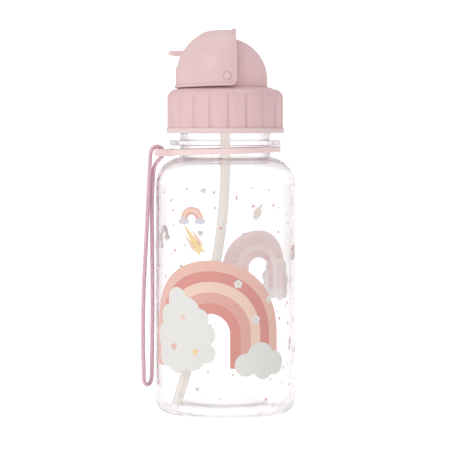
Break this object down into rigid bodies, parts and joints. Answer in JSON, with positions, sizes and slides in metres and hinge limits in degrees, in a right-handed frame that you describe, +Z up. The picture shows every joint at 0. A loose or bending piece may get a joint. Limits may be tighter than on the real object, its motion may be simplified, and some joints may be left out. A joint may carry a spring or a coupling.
{
  "type": "kids water bottle",
  "caption": "Clear screw-top drinking bottle with a flip hood over a folding mouthpiece, a bent straw, a neck band and a looped carry cord.",
  "frame": {"origin": "centre of the base, on the surface that the bottle stands on", "axes": "+Z up along the bottle; the mouthpiece, thumb tab and carry cord are towards -X; the near hinge pin is towards -Y"},
  "size_m": [0.0775, 0.07, 0.1926],
  "materials": {
    "clear_bottle": "clear, glossy",
    "pink_cap": "satin moulded",
    "pink_hood": "satin moulded",
    "pink_band": "satin, soft",
    "pink_cord": "fine round braid",
    "straw_plastic": "translucent, satin",
    "clear_silicone": "translucent, soft",
    "white_silicone": "soft, matt"
  },
  "bodies": {
    "bottle": {"bottle_body": "clear_bottle"},
    "seal": {"cap_gasket": "white_silicone"},
    "cap": {"cap_core": "pink_cap", "cap_grip_ring": "pink_cap", "spout_base": "clear_silicone", "straw": "straw_plastic", "air_valve": "white_silicone", "hinge_pin_near": "pink_hood", "hinge_pin_far": "pink_hood"},
    "hood": {"flip_hood": "pink_hood"},
    "spout": {"spout_tube": "clear_silicone"},
    "strap": {"strap_band": "pink_band"},
    "cord": {"strap_cord": "pink_cord"}
  },
  "joints": [
    {"name": "cap_lift", "type": "slide", "parent": "bottle", "child": "seal", "axis": [0, 0, 1], "range_m": [0, 0.0101]},
    {"name": "cap_turn", "type": "hinge", "parent": "seal", "child": "cap", "pos_m": [0, 0, 0.1578], "axis": [0, 0, 1], "range_deg": [0, 720]},
    {"name": "hood_flip", "type": "hinge", "parent": "cap", "child": "hood", "pos_m": [0, 0, 0.1684], "axis": [0, 1, 0], "range_deg": [0, 90]},
    {"name": "spout_fold", "type": "hinge", "parent": "cap", "child": "spout", "pos_m": [0, 0, 0.171], "axis": [0, 1, 0], "range_deg": [0, 45.1]},
    {"name": "strap_spin", "type": "hinge", "parent": "bottle", "child": "strap", "pos_m": [0, 0, 0.13135], "axis": [0, 0, 1], "continuous": true},
    {"name": "cord_swing", "type": "hinge", "parent": "strap", "child": "cord", "pos_m": [-0.03429, 0, 0.13039], "axis": [0, 1, 0], "range_deg": [0, 170]}
  ],
  "couplings": [
    {"joint": "cap_lift", "follows": "cap_turn", "m_per_rad": 0.00079577},
    {"joint": "spout_fold", "follows": "hood_flip", "ratio": 0.5}
  ]
}
